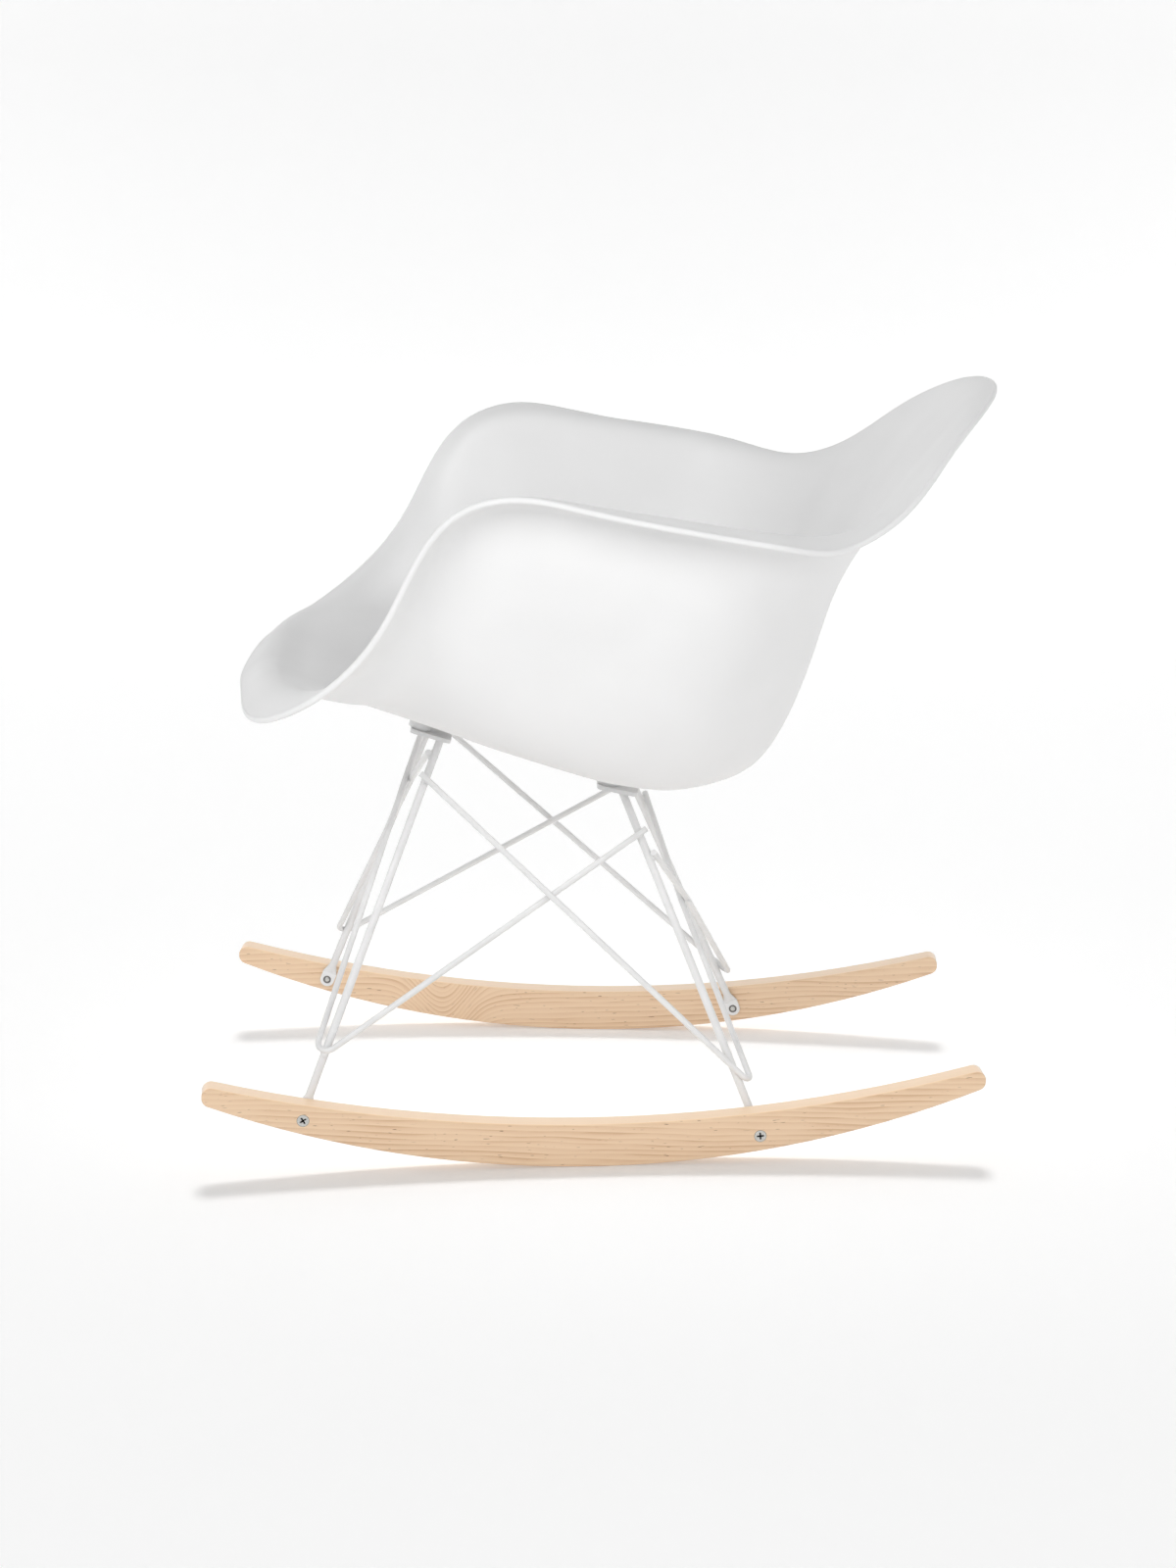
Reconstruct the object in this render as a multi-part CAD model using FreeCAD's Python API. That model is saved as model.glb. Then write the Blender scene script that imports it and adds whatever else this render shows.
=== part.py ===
import FreeCAD, Part
import math
import os

V = FreeCAD.Vector

# Sizes in millimetres. The chair faces -X, its left side is -Y, and the floor is Z = 0
# under the middle of the rockers.

# moulded seat shell
shell_wall = 4.6
lip_thickness = 5.8
floor_low_x = 60.0
floor_low_z = 315.0
floor_slope = 0.346
floor_blend = 60.0
floor_dish = 0.0006
floor_centre_x = 20.0
floor_rings = (0.04, 0.35, 0.7)
# Section points in fifteen directions round the seat, from the front centre to the back centre:
# foot of the wall (x, y), then lower wall, upper wall, crest of the rolled flange, flange edge.
SHELL_SECTIONS = [
    ((-218, 0), (-256, 0, 403), (-278, 0, 409), (-298.5, 0, 407.5), (-312, 0, 393.5)),
    ((-212, 80), (-250, 94, 407.5), (-274, 101, 413), (-294, 107, 411.5), (-304.5, 112, 395.5)),
    ((-190, 138), (-226, 175, 412.5), (-247, 196, 417.5), (-265.5, 213.5, 415), (-281, 228, 401.5)),
    ((-160, 163), (-187, 208, 411), (-204, 236, 426), (-219, 255, 434.5), (-232, 272, 428.5)),
    ((-120, 177), (-141, 226, 428), (-158, 254, 475), (-167, 272, 490.5), (-175, 289, 491)),
    ((-75, 188), (-92, 240, 450), (-106.5, 263, 557), (-113.5, 275, 581), (-117.5, 289, 583)),
    ((-25, 193), (-36, 246, 450), (-52, 270, 569.5), (-60, 283, 596.5), (-61, 299, 598.5)),
    ((10, 193), (7, 249, 446), (0, 274.5, 565), (-5, 289, 590.5), (-5.5, 306, 589.5)),
    ((45, 190), (50, 249, 440), (52, 277, 557.5), (50, 293, 581.5), (50, 310, 577.5)),
    ((92, 176), (120, 230, 435), (136, 262, 543), (145, 281, 565), (152, 300, 558.5)),
    ((116, 150), (154, 196, 435), (180, 227, 537), (191, 245, 558), (198, 263, 552)),
    ((132, 120), (178, 158, 438), (216, 189, 537), (237, 214, 570.5), (248, 227, 572.5)),
    ((143, 85), (190, 112, 438), (243, 138, 554), (286, 157, 612), (299, 163, 617)),
    ((148, 44), (197, 60, 440), (263, 74, 573), (325, 82, 644.5), (341, 81, 649.5)),
    ((150, 0), (199, 0, 442), (268, 0, 578), (336, 0, 653.5), (354, 0, 657)),
]

# mounting plates under the shell; x, y and z give the middle of the top face, and a boss is
# what is left of a post below the seat
front_plate_x = -143.5
front_plate_y = 110.0
front_plate_z = 367.5
front_plate_slope = 16.4
front_screw_inset = 7.25
front_leg_inset = 8.75
rear_plate_x = 20.5
rear_plate_y = 88.0
rear_plate_z = 313.0
rear_plate_slope = 11.9
rear_screw_inset = 8.75
rear_leg_inset = 13.75
plate_length = 36.5
plate_width = 30.0
plate_thickness = 3.5
plate_corner = 5.0
boss_diameter = 20.0
post_height = 45.0
insert_diameter = 9.0
insert_length = 7.0
mount_thread = 6.0
mount_grip = 5.5
mount_head_diameter = 11.0
mount_head_height = 3.2
mount_head_crown = 2.4
mount_hole_play = 0.6

# legs, V-shaped struts and their welds; a weld's size is its height above the floor
leg_diameter = 7.2
wire_diameter = 5.5
weld_gap = 0.05
tab_width = 13.6
tab_thickness = 3.4
tab_above = 7.5
neck_length = 9.0
front_weld_low = 98.0
front_weld_side = 327.0
front_weld_top = 346.0
front_reach = 16.0
front_bend_radius = 9.0
front_cross_x = -167.0
front_cross_z = 300.0
rear_weld_low = 73.0
rear_weld_side = 272.0
rear_weld_top = 252.0
rear_reach = 21.0
rear_bend_radius = 6.0
rear_cross_x = 85.0
rear_cross_z = 184.0
cross_bend_radius = 30.0
wire_overrun = 7.0
weld_rounds = 4

# wooden rockers and their screws; a rise is measured from the rocker's lower edge
rocker_length = 684.0
rocker_thickness = 21.5
rocker_spacing = 396.5
rocker_toe = 3.45
rocker_radius = 944.0
rocker_depth = 38.5
rocker_tip_depth = 17.25
rocker_end_radius = 8.0
rocker_edge_radius = 1.2
front_bolt_inset = 87.0
front_bolt_rise = 12.9
rear_bolt_inset = 198.5
rear_bolt_rise = 13.6
bolt_thread = 5.0
bolt_head_diameter = 11.0
bolt_head_height = 2.9
bolt_hole_play = 0.4
bush_diameter = 7.4
bush_stand = 0.8
fit = 0.1


def frame(origin, x_axis, z_axis):
    """Placement whose own X and Z point along the given directions."""
    z = V(z_axis).normalize()
    y = z.cross(x_axis).normalize()
    x = y.cross(z)
    return FreeCAD.Placement(FreeCAD.Matrix(
        x.x, y.x, z.x, origin.x,
        x.y, y.y, z.y, origin.y,
        x.z, y.z, z.z, origin.z,
        0, 0, 0, 1))


def placed(shape, where):
    shape = shape.copy()
    shape.Placement = where.multiply(shape.Placement)
    return shape


def mirrored(shape):
    """The same piece on the other side of the chair."""
    return shape.mirror(V(0, 0, 0), V(0, 1, 0))


def mirrored_point(point):
    return V(point.x, -point.y, point.z)


def rod(start, end, diameter):
    return Part.makeCylinder(diameter / 2, (end - start).Length, start, end - start)


def floor_height(x, y):
    """Height of the seat's under face: lowest near the back, rising forward and to the sides."""
    run = math.hypot(x - floor_low_x, floor_blend) - floor_blend
    return floor_low_z + floor_slope * run + floor_dish * y * y


def running_lengths(points):
    """Distance along the points, from 0 at the first to 1 at the last."""
    total = [0.0]
    for a, b in zip(points, points[1:]):
        total.append(total[-1] + (b - a).Length)
    return [t / total[-1] for t in total]


def closed_ring(points, turns):
    ring = Part.BSplineCurve()
    ring.interpolate(Points=points, PeriodicFlag=True, Parameters=turns)
    return ring


def skin(columns, turns, starts, ends):
    """Surface through columns of points that stand side by side in a closed ring."""
    lengths = [running_lengths(c) for c in columns]
    levels = [sum(row) / len(columns) for row in zip(*lengths)]
    net = []
    for column, first, last in zip(columns, starts, ends):
        curve = Part.BSplineCurve()
        curve.interpolate(Points=column, Parameters=levels, InitialTangent=first, FinalTangent=last)
        net.append(curve.getPoles())
    rings = [closed_ring(list(row), turns) for row in zip(*net)]
    surface = Part.BSplineSurface()
    surface.buildFromPolesMultsKnots(
        [list(row) for row in zip(*[ring.getPoles() for ring in rings])],
        rings[0].getMultiplicities(), curve.getMultiplicities(),
        rings[0].getKnots(), curve.getKnots(), True, False, 3, 3)
    return surface, levels


def shell_columns():
    """Under face of the shell: columns of points from the middle of the seat out to the rim."""
    centre = V(floor_centre_x, 0, floor_height(floor_centre_x, 0))
    slope = floor_height(floor_centre_x + 0.5, 0) - floor_height(floor_centre_x - 0.5, 0)
    half = []
    for foot, *wall in SHELL_SECTIONS:
        column = []
        for share in floor_rings + (1.0,):
            x = centre.x + share * (foot[0] - centre.x)
            y = share * foot[1]
            level = share == floor_rings[0]
            z = centre.z + slope * (x - centre.x) if level else floor_height(x, y)
            column.append(V(x, y, z))
        half.append(column + [V(*point) for point in wall])
    columns = half + [[mirrored_point(p) for p in column] for column in half[-2:0:-1]]
    return columns, centre, V(-slope, 0, 1).normalize()


def halves(values):
    """The values with their midpoints put in between."""
    return [v for a, b in zip(values, values[1:]) for v in (a, (a + b) / 2)] + values[-1:]


def rounded_edge(point, normal, out):
    """Half circle of points from the upper edge of the rim round to its lower edge."""
    radius = lip_thickness / 2
    middle = point - normal * radius
    steps = [math.radians(a) for a in (90, 45, 0, -45, -90)]
    return [middle + normal * (radius * math.sin(a)) + out * (radius * math.cos(a)) for a in steps]


def shell_body():
    """Wall of even thickness with a thicker rounded rim, closed in the middle by two flat discs."""
    columns, centre, up = shell_columns()
    rim = [c[-1] for c in columns]
    turns = running_lengths(rim + rim[:1])
    surface, levels = skin(columns, turns, [c[0] - centre for c in columns],
                           [c[-1] - c[-2] for c in columns])
    turns = halves(turns)
    upper, lower, edge, starts, outs = [], [], [], [], []
    for u in turns[:-1]:
        points, walls = [], []
        for v in halves(levels):
            out = surface.getDN(u, v, 0, 1).normalize()
            normal = surface.getDN(u, v, 1, 0).cross(out).normalize() if points else up
            points.append(surface.value(u, v))
            walls.append(normal * shell_wall)
        walls[-1] = normal * lip_thickness
        lower.append(points)
        upper.append([p + w for p, w in zip(points, walls)])
        edge.append(rounded_edge(upper[-1][-1], normal, out))
        starts.append(points[0] - centre)
        outs.append(out)
    backs = [out * -1 for out in outs]
    faces = [skin(upper, turns, starts, outs)[0].toShape(),
             skin(lower, turns, starts, outs)[0].toShape(),
             skin(edge, turns, outs, backs)[0].toShape()]
    for columns in (upper, lower):
        disc = closed_ring([c[0] for c in columns], turns).toShape()
        faces.append(Part.Face(Part.Wire([disc])))
    shape = Part.Shell(Part.makeCompound(faces).Faces)
    shape.sewShape()
    solid = Part.Solid(shape)
    if solid.Volume < 0:
        solid.reverse()
    return solid


class Corner:
    """One corner of the base on the +Y side: its plate, its leg and its bolt."""

    def __init__(self, plate, slope, screw_inset, leg_inset, bolt_x, bolt_rise):
        angle = math.radians(slope)
        self.plate = frame(V(*plate), V(math.cos(angle), 0, -math.sin(angle)),
                           V(math.sin(angle), 0, math.cos(angle)))
        self.screw_x = screw_inset - plate_length / 2
        self.top = self.plate.multVec(V(plate_length / 2 - leg_inset, 0, -plate_thickness))
        inner = V(bolt_x, -rocker_thickness / 2, rocker_low(bolt_x) + bolt_rise)
        bolt = rocker_frame().multVec(inner)
        inward = rocker_frame().Rotation.multVec(V(0, -1, 0))
        rise = self.top - bolt
        self.bolt = frame(bolt, rise - inward * rise.dot(inward), inward)
        self.knee = self.bolt.multVec(V(tab_above, 0, tab_thickness / 2))
        self.axis = (self.top - self.knee).normalize()

    def axis_point(self, height):
        return self.knee + self.axis * ((height - self.knee.z) / self.axis.z)

    def beside(self, height, wire, side):
        """Middle of a wire that lies against the leg on the given side."""
        off = self.axis.cross(wire).normalize()
        reach = (leg_diameter + wire_diameter) / 2 + weld_gap
        return self.axis_point(height) + off * (reach if off.dot(side) > 0 else -reach)


def rocker_frame():
    """Middle of the right rocker: X along it, Y outward, Z up from the floor."""
    toe = math.radians(rocker_toe)
    return frame(V(0, rocker_spacing / 2, 0), V(math.cos(toe), -math.sin(toe), 0), V(0, 0, 1))


def rocker_low(x):
    """Height of a rocker's lower edge, which is an arc, at a distance along the rocker."""
    return rocker_radius - math.sqrt(rocker_radius ** 2 - x * x)


def front_corner():
    return Corner((front_plate_x, front_plate_y, front_plate_z), front_plate_slope,
                  front_screw_inset, front_leg_inset, front_bolt_inset - rocker_length / 2,
                  front_bolt_rise)


def rear_corner():
    return Corner((rear_plate_x, rear_plate_y, rear_plate_z), rear_plate_slope,
                  rear_screw_inset, rear_leg_inset, rocker_length / 2 - rear_bolt_inset,
                  rear_bolt_rise)


def seat_shell(corners):
    """The moulded seat with a round boss over the front half of each plate."""
    body = shell_body()
    for corner in corners:
        at = V(corner.screw_x, 0, 0)
        post = placed(Part.makeCylinder(boss_diameter / 2, post_height, at), corner.plate)
        bore = Part.makeCylinder((insert_diameter + fit) / 2, insert_length + fit, at)
        bore = placed(bore, corner.plate)
        for peg, hole in ((post, bore), (mirrored(post), mirrored(bore))):
            boss = min(peg.cut(body).Solids, key=lambda piece: piece.CenterOfMass.z)
            body = body.fuse(boss).cut(hole)
    return body


def threaded_insert(corner):
    at = V(corner.screw_x, 0, 0)
    ring = Part.makeCylinder(insert_diameter / 2, insert_length, at)
    return placed(ring.cut(Part.makeCylinder((mount_thread + fit) / 2, insert_length, at)),
                  corner.plate)


def mounting_plate(corner):
    """Rounded steel plate with a hole for its screw."""
    low = V(-plate_length / 2, -plate_width / 2, -plate_thickness)
    plate = Part.makeBox(plate_length, plate_width, plate_thickness, low)
    upright = [e for e in plate.Edges if abs(e.tangentAt(e.FirstParameter).z) > 0.9]
    plate = plate.makeFillet(plate_corner, upright)
    hole = Part.makeCylinder((mount_thread + mount_hole_play) / 2, plate_thickness,
                             V(corner.screw_x, 0, -plate_thickness))
    return placed(plate.cut(hole), corner.plate)


def mount_screw(corner):
    """Dome-headed screw that comes up through the plate into the insert."""
    half = mount_head_diameter / 2
    ball = (half ** 2 + mount_head_crown ** 2) / (2 * mount_head_crown)
    bottom = V(0, 0, -plate_thickness - mount_head_height)
    head = Part.makeCylinder(half, mount_head_height, bottom)
    head = head.common(Part.makeSphere(ball, bottom + V(0, 0, ball)))
    screw = head.fuse(Part.makeCylinder(mount_thread / 2, plate_thickness + mount_grip,
                                        V(0, 0, -plate_thickness)))
    screw.translate(V(corner.screw_x, 0, 0))
    return placed(screw, corner.plate)


def leg(corner):
    """Round rod pressed flat at its foot and cut to sit under its plate."""
    half = tab_width / 2
    tab = Part.makeCylinder(half, tab_thickness).fuse(
        Part.makeBox(tab_above, tab_width, tab_thickness, V(0, -half, 0)))
    tab = placed(tab.removeSplitter(), corner.bolt)
    flat = Part.Wire([Part.Ellipse(V(0, 0, 0), half, tab_thickness / 2).toShape()])
    side = corner.bolt.Rotation.multVec(V(0, 1, 0))
    up = corner.bolt.Rotation.multVec(V(1, 0, 0))
    flat = placed(flat, frame(corner.knee, side, up))
    neck_top = corner.knee + corner.axis * neck_length
    round_end = Part.Wire([Part.Circle(V(0, 0, 0), V(0, 0, 1), leg_diameter / 2).toShape()])
    round_end = placed(round_end, frame(neck_top, side - corner.axis * side.dot(corner.axis),
                                        corner.axis))
    neck = Part.makeLoft([flat, round_end], True)
    above = corner.top + corner.axis * leg_diameter
    shape = tab.fuse([neck, rod(neck_top, above, leg_diameter)])
    block = Part.makeBox(plate_length * 2, plate_width * 2, leg_diameter * 4,
                         V(-plate_length, -plate_width, -plate_thickness))
    over = placed(block, corner.plate)
    hole = Part.makeCylinder((bush_diameter + fit) / 2, tab_thickness)
    return shape.cut([over, placed(hole, corner.bolt)]).removeSplitter()


def bent_rod(points, radii, diameter):
    """Rod along straight runs with a round bend at each inner point."""
    edges = []
    start = points[0]
    for i, radius in enumerate(radii, 1):
        back = (points[i - 1] - points[i]).normalize()
        on = (points[i + 1] - points[i]).normalize()
        half_angle = back.getAngle(on) / 2
        run = radius / math.tan(half_angle)
        to_centre = (back + on).normalize()
        middle = points[i] + to_centre * (radius / math.sin(half_angle) - radius)
        edges.append(Part.makeLine(start, points[i] + back * run))
        edges.append(Part.Arc(points[i] + back * run, middle, points[i] + on * run).toShape())
        start = points[i] + on * run
    edges.append(Part.makeLine(start, points[-1]))
    path = Part.Wire(edges)
    section = Part.Wire([Part.Circle(points[0], points[1] - points[0], diameter / 2).toShape()])
    return path.makePipeShell([section], True, False)


def strut(corner, other, low, side_height, top_height, reach, bend, cross_x, cross_z, face, turn):
    """V-shaped wire of one corner: one arm up the side of the chair, one across its end."""
    outboard = V(0, 1, 0)
    along = other.axis_point(side_height) - corner.axis_point(low)
    for _ in range(weld_rounds):
        low_weld = corner.beside(low, along, outboard)
        side_weld = other.beside(side_height, along, outboard)
        along = (side_weld - low_weld).normalize()
    apex = low_weld - along * reach
    cross = V(cross_x, 0, cross_z)
    over = V(cross.z - apex.z, 0, apex.x - cross.x).normalize()
    cross = cross + over * (turn * (wire_diameter / 2 + weld_gap))
    arm = corner.axis_point(top_height) - mirrored_point(cross)
    for _ in range(weld_rounds):
        top_weld = corner.beside(top_height, arm, face)
        arm = (top_weld - mirrored_point(cross)).normalize()
    end = mirrored_point(top_weld + arm * wire_overrun)
    start = side_weld + along * wire_overrun
    wire = bent_rod([start, apex, cross, end], [bend, cross_bend_radius], wire_diameter)
    return wire.cut(leg(corner))


def front_strut(front, rear, turn):
    return strut(front, rear, front_weld_low, rear_weld_side, front_weld_top, front_reach,
                 front_bend_radius, front_cross_x, front_cross_z, V(-1, 0, 0), turn)


def rear_strut(front, rear, turn):
    return strut(rear, front, rear_weld_low, front_weld_side, rear_weld_top, rear_reach,
                 rear_bend_radius, rear_cross_x, rear_cross_z, V(1, 0, 0), turn)


def rocker(corners):
    """Curved wooden rail with rounded ends and a countersunk hole at each leg."""
    end = rocker_length / 2
    tip = rocker_low(end) + rocker_tip_depth
    low = [V(x, 0, rocker_low(x)) for x in (-end, 0, end)]
    high = [V(end, 0, tip), V(0, 0, rocker_depth), V(-end, 0, tip)]
    outline = Part.Wire([Part.Arc(*low).toShape(), Part.makeLine(low[2], high[0]),
                         Part.Arc(*high).toShape(), Part.makeLine(high[2], low[0])])
    rail = Part.Face(outline).extrude(V(0, rocker_thickness, 0))
    rail.translate(V(0, -rocker_thickness / 2, 0))
    tips = [e for e in rail.Edges if abs(e.CenterOfMass.x) > end - fit and abs(e.CenterOfMass.y) < fit]
    rail = rail.makeFillet(rocker_end_radius, tips)
    flat = [e for e in rail.Edges if abs(abs(e.CenterOfMass.y) - rocker_thickness / 2) < fit]
    rail = rail.makeFillet(rocker_edge_radius, flat)
    rail = placed(rail, rocker_frame())
    for corner in corners:
        rail = rail.cut(placed(bolt_shape(fit, bolt_thread + bolt_hole_play), corner.bolt))
    return rail


def bolt_shape(play, thread):
    """Countersunk screw along its own Z, the head's face at the outer face of the rocker."""
    face = -rocker_thickness
    head = bolt_head_diameter + play
    cone = Part.makeCone(head / 2, thread / 2, bolt_head_height, V(0, 0, face))
    length = rocker_thickness + tab_thickness + bush_stand
    return cone.fuse(Part.makeCylinder(thread / 2, length, V(0, 0, face)))


def rocker_screw(corner):
    return placed(bolt_shape(0, bolt_thread), corner.bolt)


def threaded_bush(corner):
    """Round nut held in the flattened foot of the leg."""
    length = tab_thickness + bush_stand
    ring = Part.makeCylinder(bush_diameter / 2, length)
    return placed(ring.cut(Part.makeCylinder((bolt_thread + fit) / 2, length)), corner.bolt)


def main():
    os.makedirs("parts", exist_ok=True)
    front = front_corner()
    rear = rear_corner()
    pieces = {"seat_shell": seat_shell([front, rear])}
    rail = rocker([front, rear])
    pieces["rocker_right"] = rail
    pieces["rocker_left"] = mirrored(rail)
    makers = {"mounting_plate": mounting_plate, "mount_screw": mount_screw, "leg": leg,
              "threaded_insert": threaded_insert, "rocker_screw": rocker_screw,
              "threaded_bush": threaded_bush}
    for place, corner in (("front", front), ("rear", rear)):
        for name, maker in makers.items():
            piece = maker(corner)
            pieces[f"{name}_{place}_right"] = piece
            pieces[f"{name}_{place}_left"] = mirrored(piece)
    for place, maker in (("front", front_strut), ("rear", rear_strut)):
        pieces[f"strut_{place}_right"] = maker(front, rear, 1)
        pieces[f"strut_{place}_left"] = mirrored(maker(front, rear, -1))
    for name, shape in pieces.items():
        shape.exportStep(f"parts/{name}.step")


main()
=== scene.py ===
"""Rocking armchair: a moulded plastic shell on a white steel rod base with maple rockers.

The solids give the places of all parts and the shape of most. This script dresses them in
their finishes, lays a finer skin in the seat shell's place, makes the screws, nuts and weld
beads in full detail, and sets the camera, the floor and the lights.
"""
import logging
import math
from dataclasses import dataclass, replace
from enum import Enum
from typing import Any

import bpy
import numpy as np
from bpy.types import Collection, Material, Node, NodeSocket, NodeTree, Object
from mathutils import Matrix, Vector

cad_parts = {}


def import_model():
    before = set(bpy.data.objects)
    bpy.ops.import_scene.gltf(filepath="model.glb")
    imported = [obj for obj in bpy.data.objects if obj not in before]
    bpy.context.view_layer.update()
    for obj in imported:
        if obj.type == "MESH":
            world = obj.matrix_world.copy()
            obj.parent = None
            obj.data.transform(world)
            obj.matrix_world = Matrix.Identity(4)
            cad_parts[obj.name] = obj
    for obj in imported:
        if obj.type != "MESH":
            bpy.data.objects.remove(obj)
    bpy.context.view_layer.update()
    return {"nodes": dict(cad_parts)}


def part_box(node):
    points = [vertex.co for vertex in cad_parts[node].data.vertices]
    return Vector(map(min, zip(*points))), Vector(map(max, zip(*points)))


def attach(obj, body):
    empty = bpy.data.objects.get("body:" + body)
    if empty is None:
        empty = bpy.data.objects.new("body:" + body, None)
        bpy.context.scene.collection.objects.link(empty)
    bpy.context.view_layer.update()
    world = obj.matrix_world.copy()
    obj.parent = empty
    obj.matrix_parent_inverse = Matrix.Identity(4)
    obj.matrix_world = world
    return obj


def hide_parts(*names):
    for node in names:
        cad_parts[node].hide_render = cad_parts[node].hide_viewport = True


Pair = tuple[float, float]
Point = tuple[float, float, float]

log = logging.getLogger("rocking_chair")
MM = 0.001
SHARP_ANGLE = math.radians(32)  # edges that bend more than this stay sharp
MERGE_DISTANCE = 2e-6  # metres; the solids' meshes are loose triangles
RECESS_FADE = 0.35  # depth in millimetres at which a screw's recess is fully dark with painted shade
RIM_SHADE = 0.75  # how dark the painted shade in the gap round a sunk head is


class End(Enum):
    """The two ends of the chair: the front is towards -X."""

    FRONT = "front"
    REAR = "rear"


class Side(Enum):
    """The two sides of the chair as its sitter sees them; the value is the sign of Y."""

    RIGHT = 1
    LEFT = -1


def linear(hex_colour: str) -> tuple[float, float, float, float]:
    """Turn an sRGB colour such as "E6E4E0" into linear red, green, blue and alpha.

    Args:
        hex_colour: six hexadecimal digits.

    Returns:
        The linear colour with an alpha of 1.
    """
    values = [int(hex_colour[i:i + 2], 16) / 255 for i in (0, 2, 4)]
    parts = [v / 12.92 if v <= 0.04045 else ((v + 0.055) / 1.055) ** 2.4 for v in values]
    return (*parts, 1.0)


def add(tree: NodeTree, kind: str, settings: dict[str, Any] | None = None,
        **inputs: Any) -> Node:
    """Add a node with its settings, socket values and links.

    Args:
        tree: the node tree that gets the node.
        kind: the node's type name.
        settings: attributes of the node itself; "stops" lists a colour ramp's positions
            and sRGB colours.
        inputs: socket name, or "i" and a number, to a value, or to a socket or a node
            whose first output is linked. An underscore in a name stands for a space.

    Returns:
        The new node.
    """
    node = tree.nodes.new(kind)
    settings = dict(settings or {})
    stops = settings.pop("stops", [])
    for place, (position, colour) in enumerate(stops):
        band = node.color_ramp.elements
        element = band[place] if place < len(band) else band.new(position)
        element.position = position
        element.color = linear(colour)
    for name, value in settings.items():
        setattr(node, name, value)
    for name, value in inputs.items():
        numbered = name[0] == "i" and name[1:].isdigit()
        key: Any = int(name[1:]) if numbered else name.replace("_", " ")
        if isinstance(value, Node):
            value = value.outputs[0]
        if isinstance(value, NodeSocket):
            tree.links.new(value, node.inputs[key])
        else:
            node.inputs[key].default_value = value
    return node


@dataclass(frozen=True)
class Finish:
    """A surface finish: what the material is, and how its surface was made.

    The relief is the depth of its fine texture, and how much of that is felt, from 0 to 1.
    """

    name: str
    relief_mm: float = 0.0
    relief_felt: float = 0.0

    def material(self) -> Material:
        """Build the material, or find it if it was built before.

        Returns:
            The material of this name.
        """
        found = bpy.data.materials.get(self.name)
        if found:
            return found
        made = bpy.data.materials.new(self.name)
        made.use_nodes = True
        tree = made.node_tree
        tree.nodes.clear()
        place = add(tree, "ShaderNodeTexCoord").outputs["Object"]
        shader = add(tree, "ShaderNodeBsdfPrincipled", **self.draw(tree, place))
        add(tree, "ShaderNodeOutputMaterial", Surface=shader)
        return made

    def draw(self, tree: NodeTree, place: NodeSocket) -> dict[str, Any]:
        """Make the finish's patterns; each finish has its own.

        Args:
            tree: the material's node tree.
            place: coordinates in the frame, in metres.

        Returns:
            The shader's inputs by name, as add takes them.
        """
        raise NotImplementedError

    @staticmethod
    def mottled(tree: NodeTree, spots: Node, edge: float, dark: str, light: str) -> Node:
        """Colour that goes from dark to light as the spots go from edge to 1 - edge."""
        return add(tree, "ShaderNodeValToRGB", {"stops": [(edge, dark), (1 - edge, light)]},
                   Fac=spots)

    def bump(self, tree: NodeTree, height: Node) -> Node:
        """Surface normal that a height pattern, from 0 to 1, gives this finish."""
        return add(tree, "ShaderNodeBump", Height=height, Strength=self.relief_felt,
                   Distance=self.relief_mm * MM)


@dataclass(frozen=True)
class MouldedPolypropylene(Finish):
    """Polypropylene injected into a fine-blasted mould: matt, with a broad soft highlight."""

    name: str = "polypropylene"
    relief_mm: float = 0.03
    relief_felt: float = 0.25
    colour: str = "ECECEC"
    shade: str = "E6E6E6"
    refraction: float = 1.49
    roughness: Pair = (0.44, 0.58)
    grain_mm: float = 0.9
    clouds_mm: float = 130.0

    def draw(self, tree: NodeTree, place: NodeSocket) -> dict[str, Any]:
        """Even white with faint clouds of flow in the melt and a blasted micro texture."""
        clouds = add(tree, "ShaderNodeTexNoise", Vector=place, Scale=1 / (self.clouds_mm * MM),
                     Detail=2.0)
        colour = self.mottled(tree, clouds, 0.3, self.shade, self.colour)
        blast = add(tree, "ShaderNodeTexNoise", Vector=place, Scale=1 / (self.grain_mm * MM),
                    Detail=3.0, Roughness=0.6)
        dull = add(tree, "ShaderNodeMapRange", Value=blast,
                   To_Min=self.roughness[0], To_Max=self.roughness[1])
        return {"Base Color": colour, "Roughness": dull,
                "IOR": self.refraction, "Normal": self.bump(tree, blast)}


@dataclass(frozen=True)
class PowderCoatedSteel(Finish):
    """Polyester powder baked on steel: a thick satin skin with a slight orange peel."""

    name: str = "polyester_powder_coat"
    relief_mm: float = 0.02
    relief_felt: float = 0.15
    colour: str = "E4E4E4"
    shade: str = "DEDEDE"
    refraction: float = 1.5
    roughness: float = 0.36
    peel_mm: float = 1.2
    patch_mm: float = 25.0

    def draw(self, tree: NodeTree, place: NodeSocket) -> dict[str, Any]:
        """Satin white whose peel shows only as a faint unevenness of the highlight."""
        peel = add(tree, "ShaderNodeTexNoise", Vector=place, Scale=1 / (self.peel_mm * MM),
                   Detail=2.0)
        patches = add(tree, "ShaderNodeTexNoise", Vector=place, Scale=1 / (self.patch_mm * MM))
        colour = self.mottled(tree, patches, 0.35, self.shade, self.colour)
        return {"Base Color": colour, "Roughness": self.roughness,
                "IOR": self.refraction, "Normal": self.bump(tree, peel)}


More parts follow.
